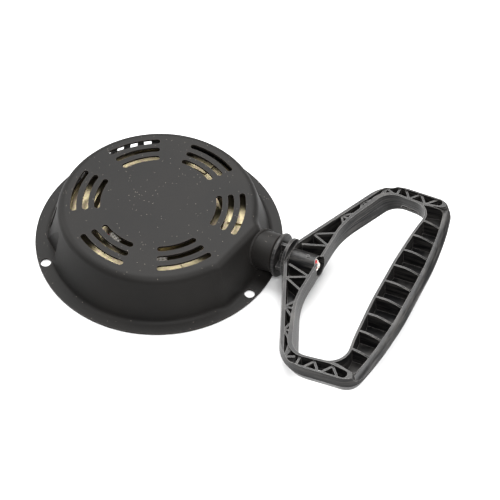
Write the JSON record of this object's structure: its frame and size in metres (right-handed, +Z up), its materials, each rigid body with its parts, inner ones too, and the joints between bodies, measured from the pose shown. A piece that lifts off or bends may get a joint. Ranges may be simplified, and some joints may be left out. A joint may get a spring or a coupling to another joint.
{
  "type": "recoil starter",
  "caption": "Pull-rope recoil starter for a small engine: vented black steel dome on a bolt flange, sprung rope reel inside, rope outlet tube and a ribbed D handle.",
  "frame": {"origin": "centre of the mounting flange and of its bolt circle, on the plane that meets the engine", "axes": "+Z up out of the dome, away from the engine; +X the way the rope is pulled; the handle's grip is along Y"},
  "size_m": [0.2654, 0.1777, 0.0367],
  "materials": {
    "case_powder_coat": "satin black powder coat on pressed steel",
    "handle_plastic": "satin moulded black nylon",
    "yellow_zinc": "yellow-passivated zinc on stamped steel",
    "clear_zinc": "clear zinc plate",
    "pawl_steel": "hardened steel, oiled",
    "spring_steel": "blued spring steel",
    "bearing_bronze": "sintered bronze",
    "guide_nylon": "hard black nylon",
    "starter_rope": "braided polyester, white with red tracer"
  },
  "bodies": {
    "case": {"starter_case": "case_powder_coat", "outlet_tube": "case_powder_coat", "guide_bush": "guide_nylon", "centre_post": "clear_zinc", "recoil_spring": "spring_steel", "rope_lead": "starter_rope", "friction_spring": "spring_steel", "retaining_washer": "clear_zinc", "centre_bolt": "clear_zinc"},
    "reel": {"spring_cup": "yellow_zinc", "reel_upper_plate": "yellow_zinc", "reel_lower_plate": "yellow_zinc", "reel_hub": "yellow_zinc", "reel_bushing": "bearing_bronze", "reel_rivets": "clear_zinc", "rope_coil": "starter_rope", "reel_knot": "starter_rope", "pawl_pins": "clear_zinc", "pawl_spring_a": "spring_steel", "pawl_spring_b": "spring_steel"},
    "rope_end": {"rope_tail": "starter_rope", "handle_knot": "starter_rope", "knot_washer": "clear_zinc"},
    "handle": {"handle": "handle_plastic"},
    "friction_plate": {"friction_plate": "clear_zinc"},
    "pawl_a": {"pawl_a": "pawl_steel"},
    "pawl_b": {"pawl_b": "pawl_steel"}
  },
  "joints": [
    {"name": "handle_pull", "type": "slide", "parent": "case", "child": "rope_end", "axis": [0.9888, 0, 0.1495], "range_m": [0, 0.7], "stiffness_N_per_m": 40, "springref_m": -0.3},
    {"name": "handle_twist", "type": "hinge", "parent": "rope_end", "child": "handle", "pos_m": [0.0843, 0.0107, 0.017], "axis": [0.9888, 0, 0.1495], "continuous": true},
    {"name": "reel_spin", "type": "hinge", "parent": "case", "child": "reel", "pos_m": [0, 0, 0.0134], "axis": [0, 0, 1], "range_deg": [-1350, 0], "deforming": ["recoil_spring", "rope_lead"]},
    {"name": "friction_plate_turn", "type": "hinge", "parent": "reel", "child": "friction_plate", "pos_m": [0, 0, 0.0042], "axis": [0, 0, 1], "range_deg": [0, 30], "stiffness_Nm_per_rad": 0.01, "springref_deg": -11.46},
    {"name": "pawl_a_swing", "type": "hinge", "parent": "reel", "child": "pawl_a", "pos_m": [0.02, 0, 0.0073], "axis": [0, 0, -1], "range_deg": [0, 25.01]},
    {"name": "pawl_b_swing", "type": "hinge", "parent": "reel", "child": "pawl_b", "pos_m": [-0.02, 0, 0.0073], "axis": [0, 0, -1], "range_deg": [0, 25.01]}
  ],
  "couplings": [
    {"joint": "reel_spin", "follows": "handle_pull", "rad_per_m": -33.557},
    {"joint": "pawl_a_swing", "follows": "friction_plate_turn", "ratio": 0.83333},
    {"joint": "pawl_b_swing", "follows": "friction_plate_turn", "ratio": 0.83333}
  ]
}
